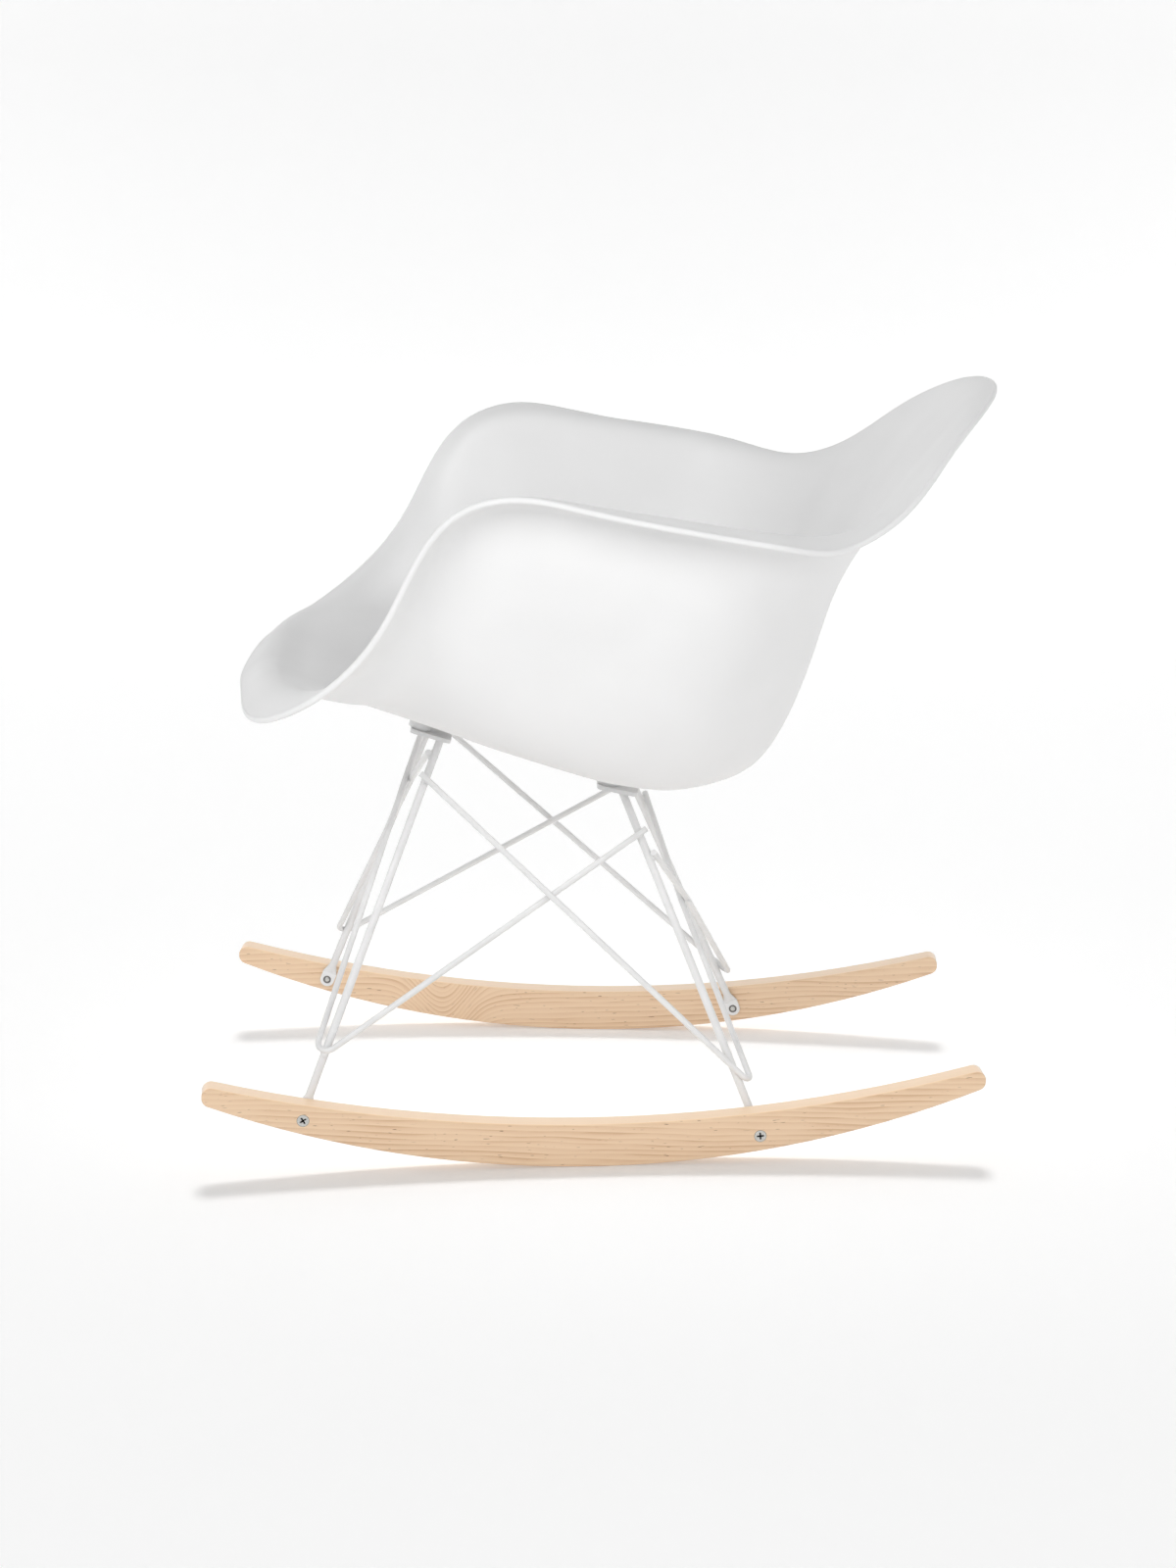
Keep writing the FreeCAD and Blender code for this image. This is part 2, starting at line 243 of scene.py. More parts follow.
@dataclass(frozen=True)
class LacqueredMaple(Finish):
    """Planed hard maple under clear satin lacquer: pale, fine-grained, with short dark flecks.

    The grain runs straight along the rail. On the right rail, the one that shows its inner
    side, it swings round in nested arches where the saw met the heart of the board. Each
    blot is a pattern's length along the rail and its width across it, in millimetres. The
    arches' sizes are in metres.
    """

    name: str = "lacquered_maple"
    relief_mm: float = 0.05
    relief_felt: float = 0.25
    pale: str = "E5C7A6"
    warm: str = "DDBB98"
    vein: str = "CFA985"
    # painted highlight: the light colour given to faces that turn upward
    top_highlight: str = "FFDDB5"
    fleck: str = "6F452A"
    roughness: float = 0.42
    coat: float = 0.8
    coat_roughness: float = 0.3
    ring_mm: float = 4.2
    ring_tilt: float = math.radians(35)
    ring_least: float = 0.5
    wander: float = 0.9
    wander_blot: Pair = (180.0, 14.0)
    patch_blot: Pair = (90.0, 9.0)
    sway_mm: float = 15.0
    sway_blot: Pair = (260.0, 60.0)
    fibre_share: float = 0.3
    fibre_blot: Pair = (40.0, 0.8)
    fleck_share: float = 0.8
    fleck_blot: Pair = (8.0, 0.8)
    top_highlight_share: float = 0.85
    arch_x: float = -0.142
    arch_height: float = 0.042
    arch_width: float = 0.03

    @staticmethod
    def stretched(tree: NodeTree, place: NodeSocket | Node, blot: Pair, detail: float) -> Node:
        """Noise whose blots are drawn out along the rail.

        Args:
            tree: the material's node tree.
            place: coordinates, in metres.
            blot: length and width of the blots, in millimetres.
            detail: octaves of finer noise.

        Returns:
            The noise, from 0 to 1.
        """
        along, across = (1 / (size * MM) for size in blot)
        scaled = add(tree, "ShaderNodeMapping", Vector=place, Scale=(along, across, across))
        return add(tree, "ShaderNodeTexNoise", Vector=scaled, Scale=1.0, Detail=detail,
                   Roughness=0.6)

    def grain_place(self, tree: NodeTree, place: NodeSocket) -> Node:
        """Coordinates bent so that what is straight in them follows the grain.

        The height rises by a bell curve, exp(-(distance / width) squared), round the heart,
        on the right rail alone. Both rails sway a little. The exponential takes one value.

        Args:
            tree: the material's node tree.
            place: coordinates in the frame, in metres.

        Returns:
            The bent coordinates, in metres.
        """
        axes = add(tree, "ShaderNodeSeparateXYZ", Vector=place).outputs
        right = add(tree, "ShaderNodeMath", {"operation": "GREATER_THAN"}, i0=axes[1], i1=0.0)
        arch = axes[0]
        for operation, other in (("SUBTRACT", self.arch_x), ("DIVIDE", self.arch_width),
                                 ("POWER", 2.0), ("MULTIPLY", -1.0), ("EXPONENT", 0.0),
                                 ("MULTIPLY", right), ("MULTIPLY", self.arch_height),
                                 ("ADD", axes[2])):
            arch = add(tree, "ShaderNodeMath", {"operation": operation}, i0=arch, i1=other)
        sway = self.stretched(tree, place, self.sway_blot, 2.0)
        high = add(tree, "ShaderNodeMath", {"operation": "MULTIPLY_ADD"}, i0=sway,
                   i1=self.sway_mm * MM, i2=arch)
        return add(tree, "ShaderNodeCombineXYZ", X=axes[0], Y=axes[1], Z=high)

    def rings(self, tree: NodeTree, grain: Node) -> Node:
        """Saw-tooth across the growth rings: pale early wood darkens to a line, then restarts.

        Args:
            tree: the material's node tree.
            grain: coordinates that follow the grain.

        Returns:
            The darkness, from 0 to 1.
        """
        across = (0.0, math.sin(self.ring_tilt) / (self.ring_mm * MM),
                  math.cos(self.ring_tilt) / (self.ring_mm * MM))
        along = add(tree, "ShaderNodeVectorMath", {"operation": "DOT_PRODUCT"}, i0=grain, i1=across)
        wander = self.stretched(tree, grain, self.wander_blot, 2.0)
        count = add(tree, "ShaderNodeMath", {"operation": "MULTIPLY_ADD"}, i0=wander,
                    i1=self.wander, i2=along.outputs["Value"])
        saw = add(tree, "ShaderNodeMath", {"operation": "FRACT"}, i0=count)
        patchy = self.stretched(tree, grain, self.patch_blot, 1.0)
        strength = add(tree, "ShaderNodeMapRange", Value=patchy, From_Min=0.35, From_Max=0.65,
                       To_Min=self.ring_least, To_Max=1.0)
        return add(tree, "ShaderNodeMath", {"operation": "MULTIPLY"}, i0=saw, i1=strength)

    def draw(self, tree: NodeTree, place: NodeSocket) -> dict[str, Any]:
        """Growth rings cut lengthwise, pale fibres, rare flecks, and a painted highlight on faces
        turned upward.
        """
        grain = self.grain_place(tree, place)
        fibres = self.stretched(tree, grain, self.fibre_blot, 2.0)
        lines = add(tree, "ShaderNodeMath", {"operation": "MULTIPLY_ADD"}, i0=fibres,
                    i1=self.fibre_share, i2=self.rings(tree, grain))
        colour = add(tree, "ShaderNodeValToRGB", {"stops": [
            (0.3, self.pale), (0.75, self.warm), (1.0, self.vein)]}, Fac=lines)
        pores = self.stretched(tree, grain, self.fleck_blot, 0.0)
        marks = add(tree, "ShaderNodeMapRange", Value=pores, From_Min=0.78, From_Max=0.84,
                    To_Min=0.0, To_Max=self.fleck_share)
        flecked = add(tree, "ShaderNodeMix", {"data_type": "RGBA"}, i0=marks,
                      i6=colour, i7=linear(self.fleck))
        # painted highlight: faces whose normal points up are mixed towards a light colour, as if lit
        # from above
        facing = add(tree, "ShaderNodeSeparateXYZ", Vector=add(
            tree, "ShaderNodeNewGeometry").outputs["Normal"]).outputs[2]
        top = add(tree, "ShaderNodeMapRange", Value=facing, From_Min=0.4, From_Max=0.85,
                  To_Min=0.0, To_Max=self.top_highlight_share)
        whole = add(tree, "ShaderNodeMix", {"data_type": "RGBA"}, i0=top,
                    i6=flecked.outputs[2], i7=linear(self.top_highlight))
        return {"Base Color": whole.outputs[2], "Roughness": self.roughness,
                "Coat Weight": self.coat, "Coat Roughness": self.coat_roughness,
                "Normal": self.bump(tree, lines)}


@dataclass(frozen=True)
class PlatedSteel(Finish):
    """Turned or rolled steel fasteners with a thin plated or oxidised skin.

    Shade is painted dark in a driver recess and in the gap round a sunk head, which the
    attribute "recess" marks.
    """

    name: str = "zinc_plating"
    relief_mm: float = 0.01
    relief_felt: float = 0.2
    bright: str = "DADAD8"
    dark: str = "BCBCB8"
    # colour of the painted shade in recesses and in the gap round a sunk head
    recess_shade: str = "1C1B1A"
    roughness: float = 0.32
    spot_mm: float = 0.6

    def draw(self, tree: NodeTree, place: NodeSocket) -> dict[str, Any]:
        """Metal with small cloudy spots, as on barrel-plated screws, and painted shade in recesses."""
        spots = add(tree, "ShaderNodeTexNoise", Vector=place, Scale=1 / (self.spot_mm * MM),
                    Detail=2.0)
        colour = self.mottled(tree, spots, 0.35, self.dark, self.bright)
        # painted shade: the "recess" attribute darkens the metal in recesses and gaps where shade falls
        painted_dark = add(tree, "ShaderNodeAttribute", {"attribute_name": "recess"})
        shaded = add(tree, "ShaderNodeMix", {"data_type": "RGBA"}, i0=painted_dark.outputs["Fac"],
                     i6=colour, i7=linear(self.recess_shade))
        return {"Base Color": shaded.outputs[2], "Metallic": 1.0, "Roughness": self.roughness,
                "Normal": self.bump(tree, spots)}


@dataclass(frozen=True)
class StudioSweep(Finish):
    """Seamless pale paper of a photo studio, with a faint glow of its own.

    The glow grows with the distance from the chair, between the two bend distances in metres.
    """

    name: str = "studio_paper"
    colour: str = "F4F4F4"
    roughness: float = 0.9
    specular: float = 0.1
    glow: float = 0.25
    far_glow: float = 0.51
    bend_from: float = 3.8
    bend_to: float = 6.4

    def draw(self, tree: NodeTree, place: NodeSocket) -> dict[str, Any]:
        """Plain matt white, whose glow is stronger where the sweep turns up."""
        away = add(tree, "ShaderNodeVectorMath", {"operation": "LENGTH"}, i0=place)
        glow = add(tree, "ShaderNodeMapRange", {"interpolation_type": "SMOOTHSTEP"},
                   Value=away.outputs["Value"], From_Min=self.bend_from, From_Max=self.bend_to,
                   To_Min=self.glow, To_Max=self.far_glow)
        return {"Base Color": linear(self.colour), "Roughness": self.roughness,
                "Specular IOR Level": self.specular, "Emission Color": linear("FFFFFF"),
                "Emission Strength": glow}


POLYPROPYLENE = MouldedPolypropylene()
POWDER_COAT = PowderCoatedSteel()
MAPLE = LacqueredMaple()
ZINC = PlatedSteel()
BLACK_OXIDE = PlatedSteel(name="black_oxide", bright="8A8886", dark="6E6C6A", roughness=0.45)
BRASS = PlatedSteel(name="plain_brass", bright="D2A860", dark="B98E48", roughness=0.35)


def smooth_group() -> NodeTree:
    """Modifier that merges a node's loose triangles and smooths all but its sharp edges.

    Returns:
        The node group, built once.
    """
    name = "smooth_but_for_sharp_edges"
    found = bpy.data.node_groups.get(name)
    if found:
        return found
    tree = bpy.data.node_groups.new(name, "GeometryNodeTree")
    for way in ("INPUT", "OUTPUT"):
        tree.interface.new_socket("Geometry", in_out=way, socket_type="NodeSocketGeometry")
    start = add(tree, "NodeGroupInput")
    merged = add(tree, "GeometryNodeMergeByDistance", Geometry=start, Distance=MERGE_DISTANCE)
    angle = add(tree, "GeometryNodeInputMeshEdgeAngle")
    sharp = add(tree, "FunctionNodeCompare", {"data_type": "FLOAT", "operation": "GREATER_THAN"},
                i0=angle, i1=SHARP_ANGLE)
    edged = add(tree, "GeometryNodeSetShadeSmooth", {"domain": "EDGE"}, Geometry=merged,
                Selection=sharp, Shade_Smooth=False)
    faced = add(tree, "GeometryNodeSetShadeSmooth", {"domain": "FACE"}, Geometry=edged,
                Shade_Smooth=True)
    add(tree, "NodeGroupOutput", i0=faced)
    return tree


def dress(node: Object, finish: Finish) -> None:
    """Give a node of the frame its finish and smooth its rounded faces.

    Args:
        node: an object of the frame.
        finish: the finish for all its faces.
    """
    node.data.materials.clear()
    node.data.materials.append(finish.material())
    modifier = node.modifiers.new("smooth", "NODES")
    modifier.node_group = smooth_group()
    log.info("%s dressed in %s", node.name, finish.name)


def placed(data: Any, matrix: Matrix) -> Object:
    """Put new data into the scene.

    Args:
        data: a mesh, a light or a camera.
        matrix: its place and turn.

    Returns:
        The new object, named like its data.
    """
    item = bpy.data.objects.new(data.name, data)
    item.matrix_world = matrix
    bpy.context.scene.collection.objects.link(item)
    return item


def mesh_object(name: str, points: np.ndarray, faces: list[list[int]], finish: Finish) -> Object:
    """Make a smooth-shaded object with its origin at the frame's.

    Args:
        name: the object's name.
        points: array of shape (points, 3), in metres.
        faces: point numbers of each face, counter-clockwise as seen from outside.
        finish: the finish of all faces.

    Returns:
        The new object, linked to the scene.
    """
    mesh = bpy.data.meshes.new(name)
    mesh.from_pydata(points.tolist(), [], faces)
    mesh.polygons.foreach_set("use_smooth", [True] * len(mesh.polygons))
    mesh.materials.append(finish.material())
    return placed(mesh, Matrix())


def quads(index: np.ndarray, wrap: tuple[int, int] = (0, 0)) -> list[list[int]]:
    """Faces between the neighbours in a grid of point numbers.

    Args:
        index: point numbers, in rows and columns.
        wrap: 1 where the last row, or the last column, is joined to the first.

    Returns:
        Corners of each face: a point, the next in its row, and both in the next row.
    """
    joined = np.pad(index, ((0, wrap[0]), (0, wrap[1])), mode="wrap")
    corners = (joined[:-1, :-1], joined[:-1, 1:], joined[1:, 1:], joined[1:, :-1])
    return np.stack(corners, axis=-1).reshape(-1, 4).tolist()


def fan(middle: int, loop: np.ndarray) -> list[list[int]]:
    """Triangles from a middle point to every edge of a closed loop of point numbers."""
    return np.stack([np.full_like(loop, middle), loop, np.roll(loop, -1)], axis=1).tolist()


@dataclass
class Base:
    """Steel legs, struts and plates with their screws, and the two wooden rockers."""

    nodes: dict[str, Object]

    FINISHES = {
        "leg": POWDER_COAT, "strut": POWDER_COAT, "mounting_plate": POWDER_COAT,
        "mount_screw": ZINC, "rocker_screw": ZINC, "threaded_bush": BLACK_OXIDE,
        "threaded_insert": BRASS, "rocker": MAPLE}

    def build(self) -> None:
        """Dress every node of the base by the longest of these words that starts its name."""
        for name, node in self.nodes.items():
            for start in sorted(self.FINISHES, key=len, reverse=True):
                if name.startswith(start + "_"):
                    dress(node, self.FINISHES[start])
                    break


def spline_weights(knots: np.ndarray, at: np.ndarray, closed: bool) -> np.ndarray:
    """Weights of a cubic spline's points, so that the curve at each place is weights @ points.

    Each span is the Hermite cubic of its two points and slopes. The slopes solve the linear
    equations that make the curvature of neighbouring spans agree at every point.

    Args:
        knots: rising places of the points; a closed curve repeats its first point at the end.
        at: places between the first and the last knot.
        closed: whether the curve is closed. An open one ends with the slope of its last span.

    Returns:
        Array of shape (places, points).
    """
    gaps = np.diff(knots)
    here = np.arange(len(gaps))
    count = len(gaps) + (not closed)
    after = (here + 1) % count
    slopes, values = np.zeros((count, count)), np.zeros((count, count))
    for row, column, weight in ((here, here, 2), (here, after, 1), (after, here, 1),
                                (after, after, 2)):
        np.add.at(slopes, (row, column), weight / gaps)
    for row in (here, after):
        np.add.at(values, (row, here), -3 / gaps ** 2)
        np.add.at(values, (row, after), 3 / gaps ** 2)
    if not closed:
        slopes[-1], values[-1] = 0.0, 0.0
        slopes[-1, -1] = 1.0
        values[-1, -2:] = -1 / gaps[-1], 1 / gaps[-1]
    span = np.clip(np.searchsorted(knots, at, side="right") - 1, 0, len(gaps) - 1)
    gap = gaps[span]
    share = (at - knots[span]) / gap
    rows = np.arange(len(at))
    level, lean = np.zeros((len(at), count)), np.zeros((len(at), count))
    np.add.at(level, (rows, here[span]), 2 * share ** 3 - 3 * share ** 2 + 1)
    np.add.at(level, (rows, after[span]), 3 * share ** 2 - 2 * share ** 3)
    np.add.at(lean, (rows, here[span]), gap * (share ** 3 - 2 * share ** 2 + share))
    np.add.at(lean, (rows, after[span]), gap * (share ** 3 - share ** 2))
    return level + lean @ np.linalg.solve(slopes, values)


def running(points: np.ndarray) -> np.ndarray:
    """Share of a polyline's length, from 0 to 1, at which each of its points lies.

    Args:
        points: array of shape (points, 3).

    Returns:
        One share per point.
    """
    total = np.cumsum(np.linalg.norm(np.diff(points, axis=0), axis=1))
    return np.concatenate([[0.0], total]) / total[-1]


def unit(vectors: np.ndarray) -> np.ndarray:
    """The same vectors, each one unit long."""
    return vectors / np.linalg.norm(vectors, axis=-1, keepdims=True)


@dataclass
class Seat:
    """The one-piece moulded shell: a skin with an even wall and a rounded rim.

    The under face is a smooth skin through section points that are given in fifteen
    directions, from the front round the right side to the back; the left side mirrors them.
    Each section has its foot on the seat's floor, as x and y, and then four points up the
    wall to the rim. All sizes are in millimetres.
    """

    node: Object
    wall: float = 4.6
    rim: float = 5.8
    low_x: float = 60.0
    low_z: float = 315.0
    slope: float = 0.346
    blend: float = 60.0
    dish: float = 0.0006
    centre_x: float = 20.0
    rings: tuple[float, ...] = (0.04, 0.35, 0.7, 1.0)
    turns: int = 280
    steps: int = 64
    rim_steps: int = 13
    rim_from: float = 0.8

    SECTIONS = (
        # front
        ((-218, 0), (-256, 0, 403), (-278, 0, 410), (-298.5, 0, 409), (-312, 0, 395.5)),
        ((-212, 80), (-250, 94, 407.5), (-274, 101, 415), (-291.5, 107, 412.5), (-304.5, 112, 399)),
        ((-190, 138), (-226, 175, 412.5), (-247, 196, 417.5), (-264.5, 213.5, 415), (-279, 228, 401.5)),
        ((-160, 163), (-187, 208, 411), (-204, 236, 426), (-220.5, 255, 435), (-233.5, 272, 428.5)),
        # right arm, from its front slope to its rear end
        ((-120, 177), (-141, 226, 428), (-159, 254, 475), (-168.5, 272, 491), (-175.5, 289, 492)),
        ((-75, 188), (-92, 240, 450), (-106, 263, 557.5), (-112.5, 275, 581.7), (-116, 289, 583.7)),
        ((-25, 193), (-36, 246, 450), (-60, 270, 570.5), (-71, 283, 596.3), (-73, 299, 598)),
        ((10, 193), (7, 249, 446), (-6, 274.5, 565.5), (-13, 289, 591), (-14, 306, 590)),
        ((45, 190), (50, 249, 440), (52, 277, 557.5), (50, 293, 581.5), (50, 310, 577.5)),
        ((92, 176), (120, 230, 435), (136, 262, 543), (145, 281, 565), (152, 300, 558.5)),
        ((116, 150), (154, 196, 435), (180, 227, 537), (191, 245, 558), (198.5, 263, 551)),
        # back, up to its middle
        ((132, 120), (178, 158, 438), (212.5, 189, 537), (237, 214, 570.5), (249.5, 227, 571.5)),
        ((143, 85), (190, 112, 438), (239, 138, 554), (286, 157, 612), (299, 163, 617)),
        ((148, 44), (197, 60, 440), (263, 74, 573), (325, 82, 644.5), (341, 81, 649.5)),
        ((150, 0), (199, 0, 442), (268, 0, 578), (336, 0, 653.5), (353.9, 0, 656.9)),
    )

    def floor_height(self, x: np.ndarray, y: np.ndarray) -> np.ndarray:
        """Height of the seat's floor: two slopes that blend in its lowest line, and a dish.

        The height is low_z + slope * (hypot(x - low_x, blend) - blend) + dish * y * y.

        Args:
            x: places along the chair.
            y: places across it.

        Returns:
            The height at each place.
        """
        run = np.hypot(x - self.low_x, self.blend) - self.blend
        return self.low_z + self.slope * run + self.dish * y * y

    def columns(self) -> np.ndarray:
        """Points of every section from the middle of the floor to the rim.

        Returns:
            Array of shape (sections all the way round, points of each, 3).
        """
        share = np.array(self.rings)
        half = []
        for foot, *wall in self.SECTIONS:
            x = self.centre_x + share * (foot[0] - self.centre_x)
            y = share * foot[1]
            half.append(np.vstack([np.stack([x, y, self.floor_height(x, y)], axis=1), wall]))
        right = np.array(half)
        return np.concatenate([right, right[-2:0:-1] * [1, -1, 1]])

    def under_face(self) -> np.ndarray:
        """Grid of the under face: round the seat first, then outward to the rim.

        A point is the sum of section points times the weights of two splines, one closed
        round the seat and one open from the middle outward.

        Returns:
            Array of shape (turns, steps, 3).
        """
        columns = self.columns()
        rim = columns[:, -1]
        around = running(np.vstack([rim, rim[:1]]))
        outward = np.mean([running(column) for column in columns], axis=0)
        turn = np.linspace(0.0, 1.0, self.turns, endpoint=False)
        step = np.sin(np.linspace(0.0, np.pi / 2, self.steps))
        return np.einsum("uc,cpk,vp->uvk", spline_weights(around, turn, True), columns,
                         spline_weights(outward, step, False))

    def skin(self) -> np.ndarray:
        """Grid of the whole surface: under face outward, round the rim, upper face inward.

        An upper point is the under point plus the unit normal times the wall. The rim is a
        half circle from one to the other, turned from the normal into the outward direction.

        Returns:
            Array of shape (turns, all steps, 3).
        """
        under = self.under_face()
        around = np.roll(under, -1, axis=0) - np.roll(under, 1, axis=0)
        outward = np.gradient(under, axis=1)
        normal = unit(np.cross(around, outward))
        share = np.linspace(0.0, 1.0, self.steps)
        near_rim = np.clip((share - self.rim_from) / (1 - self.rim_from), 0.0, 1.0) ** 2
        thick = self.wall + (self.rim - self.wall) * near_rim
        upper = under + normal * thick[None, :, None]
        up, out = normal[:, -1:], unit(outward[:, -1:])
        angle = np.linspace(-np.pi / 2, np.pi / 2, self.rim_steps)[None, 1:-1, None]
        rolled = under[:, -1:] + self.rim / 2 * ((1 + np.sin(angle)) * up + np.cos(angle) * out)
        return np.concatenate([under, rolled, upper[:, ::-1]], axis=1)

    def build(self) -> None:
        """Close the skin at the middle of both faces and put it in the node's place."""
        dress(self.node, POLYPROPYLENE)
        skin = self.skin()
        middles = np.stack([skin[:, 0].mean(axis=0), skin[:, -1].mean(axis=0)])
        points = np.vstack([skin.reshape(-1, 3), middles]) * MM
        index = np.arange(len(points) - 2).reshape(skin.shape[:2])
        faces = quads(index, wrap=(1, 0))
        faces += fan(len(points) - 2, index[:, 0]) + fan(len(points) - 1, index[::-1, -1])
        piece = mesh_object("moulded_shell", points, faces, POLYPROPYLENE)
        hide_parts("seat_shell")
        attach(piece, "root")
        log.info("%s: %d points", piece.name, len(points))


@dataclass(frozen=True)
class Lamp:
    """A light: its kind, its place and the way it faces, in metres, and its settings."""

    name: str
    kind: str
    place: Point
    facing: Point
    settings: dict[str, Any]

    def hang(self) -> Object:
        """Add the lamp to the scene.

        Returns:
            The lamp.
        """
        data = bpy.data.lights.new(self.name, self.kind)
        for name, value in self.settings.items():
            setattr(data, name, value)
        turn = Vector(self.facing).to_track_quat("-Z", "Y").to_matrix().to_4x4()
        return placed(data, Matrix.Translation(self.place) @ turn)


@dataclass
class Studio:
    """Camera as the photograph has it, a seamless floor and large soft lights.

    The camera's eye is in millimetres and its turns are in radians. The floor is in metres.
    """

    focal_px: float = 3550.7
    image_px: tuple[int, int] = (1200, 1600)
    eye_mm: Point = (-69.1, -3084.1, 1035.5)
    pitch: float = 0.2361
    yaw: float = 0.0211
    roll: float = 0.0041
    sensor_mm: float = 36.0
    eye_level: float = 0.42
    ceiling: float = 0.25
    reach: float = 20.0
    flat_to: float = 4.0
    bend: float = 2.0
    wall_top: float = 8.0

    KEY = Lamp("key_front_left", "AREA", (-1.6, -2.9, 2.7), (1.6, 2.9, -2.35),
               {"shape": "RECTANGLE", "size": 3.0, "size_y": 2.0, "energy": 84.0})
    FILL = Lamp("fill_rear_left", "AREA", (2.2, -3.0, 1.8), (-2.2, 3.0, -1.45),
                {"shape": "RECTANGLE", "size": 2.0, "size_y": 1.6, "energy": 28.0})
    GROUND = Lamp("ground_light", "SUN", (0.0, 0.0, 0.0), (0.0, -0.59, -0.81),
                  {"energy": 1.3, "angle": math.radians(11)})

    def camera(self) -> None:
        """Place the camera: looking along +Y, a little towards +X, and down."""
        data = bpy.data.cameras.new("camera")
        data.sensor_width = self.sensor_mm
        data.lens = self.focal_px / max(self.image_px) * self.sensor_mm
        data.clip_end = 100.0
        bpy.context.scene.camera = placed(
            data, Matrix.Translation(Vector(self.eye_mm) * MM)
            @ Matrix.Rotation(-self.yaw, 4, "Z")
            @ Matrix.Rotation(math.pi / 2 - self.pitch, 4, "X")
            @ Matrix.Rotation(self.roll, 4, "Z"))

    def floor(self) -> Object:
        """A seamless sweep: flat floor that curves up into a wall far behind the chair.

        The curve is flat_to + bend * sin(angle) away and bend * (1 - cos(angle)) high.

        Returns:
            The sweep.
        """
        flat = np.linspace(-self.reach, self.flat_to, 5)
        angle = np.linspace(0.1, np.pi / 2, 12)
        away = np.concatenate([flat, self.flat_to + self.bend * np.sin(angle),
                               [self.flat_to + self.bend]])
        height = np.concatenate([0 * flat, self.bend * (1 - np.cos(angle)), [self.wall_top]])
        x, y = np.meshgrid(np.linspace(-self.reach, self.reach, 3), away)
        points = np.stack([x, y, np.broadcast_to(height[:, None], x.shape)], axis=-1)
        sweep = mesh_object("floor_sweep", points.reshape(-1, 3),
                            quads(np.arange(x.size).reshape(x.shape)), StudioSweep())
        return sweep

    @staticmethod
    def linked(state: str, *items: Object) -> Collection:
        """Make a collection for a lamp's light or its shadows.

        Args:
            state: INCLUDE or EXCLUDE.
            items: the objects that it includes or excludes.

        Returns:
            The collection.
        """
        group = bpy.data.collections.new("linked_" + state.lower())
        for place, item in enumerate(items):
            group.objects.link(item)
            group.collection_objects[place].light_linking.link_state = state
        return group

    def surround(self) -> None:
        """White room: brightest at eye level, dimmer towards the ceiling."""
        world = bpy.data.worlds.new("surround")
        world.use_nodes = True
        tree = world.node_tree
        height = add(tree, "ShaderNodeSeparateXYZ", Vector=add(
            tree, "ShaderNodeTexCoord").outputs["Generated"]).outputs[2]
        level = add(tree, "ShaderNodeMapRange", Value=height, From_Min=0.0, From_Max=0.9,
                    To_Min=self.eye_level, To_Max=self.ceiling)
        background = tree.nodes["Background"].inputs
        tree.links.new(level.outputs[0], background["Strength"])
        background["Color"].default_value = linear("FFFFFF")
        bpy.context.scene.world = world

    def build(self, rockers: list[Object]) -> None:
        """Set the camera, the floor, the lights and an even white surround.

        Key and fill light the chair alone. The ground light falls on the floor alone, and
        only the rockers shade it, so that they stand on short shadows as in the photograph.

        Args:
            rockers: the two curved rails.
        """
        self.camera()
        floor = self.floor()
        for lamp in (self.KEY, self.FILL):
            lamp.hang().light_linking.receiver_collection = self.linked("EXCLUDE", floor)
        ground = self.GROUND.hang().light_linking
        ground.receiver_collection = self.linked("INCLUDE", floor)
        ground.blocker_collection = self.linked("INCLUDE", *rockers)
        self.surround()
        bpy.context.scene.view_settings.view_transform = "Standard"
        log.info("studio set")


@dataclass(frozen=True)
class Spot:
    """A place with its own axes, in millimetres: z is the way that a piece points."""

    origin: Point
    z: Point
    x: Point = (1.0, 0.0, 0.0)

    def axes(self) -> np.ndarray:
        """Rows x, y and z, each one unit long and square to the others."""
        z = unit(np.array(self.z))
        y = unit(np.cross(z, self.x))
        return np.stack([np.cross(y, z), y, z])

    def on(self, side: Side) -> "Spot":
        """The spot itself on the right side, its mirror image on the left."""
        flip = np.array([1.0, side.value, 1.0])
        return Spot(tuple(flip * self.origin), tuple(flip * self.z), tuple(flip * self.x))

    def moved(self, way: float) -> "Spot":
        """The same spot, moved along its z, which is one unit long."""
        return replace(self, origin=tuple(self.origin + way * np.array(self.z)))

    def metres(self, points: np.ndarray) -> np.ndarray:
        """Move points given along the spot's axes in millimetres into the scene."""
        return (self.origin + points @ self.axes()) * MM


def rings_round_z(radii: np.ndarray, heights: np.ndarray, segments: int) -> np.ndarray:
    """Grid of rings: x = radius * cos(angle), y = radius * sin(angle), z = height.

    Args:
        radii: radius of each ring.
        heights: height of each ring.
        segments: points in each ring.

    Returns:
        Array of shape (rings, segments, 3).
    """
    angles = np.linspace(0.0, 2 * np.pi, segments, endpoint=False)
    x, y = np.outer(radii, np.cos(angles)), np.outer(radii, np.sin(angles))
    return np.stack([x, y, np.broadcast_to(heights[:, None], x.shape)], axis=-1)


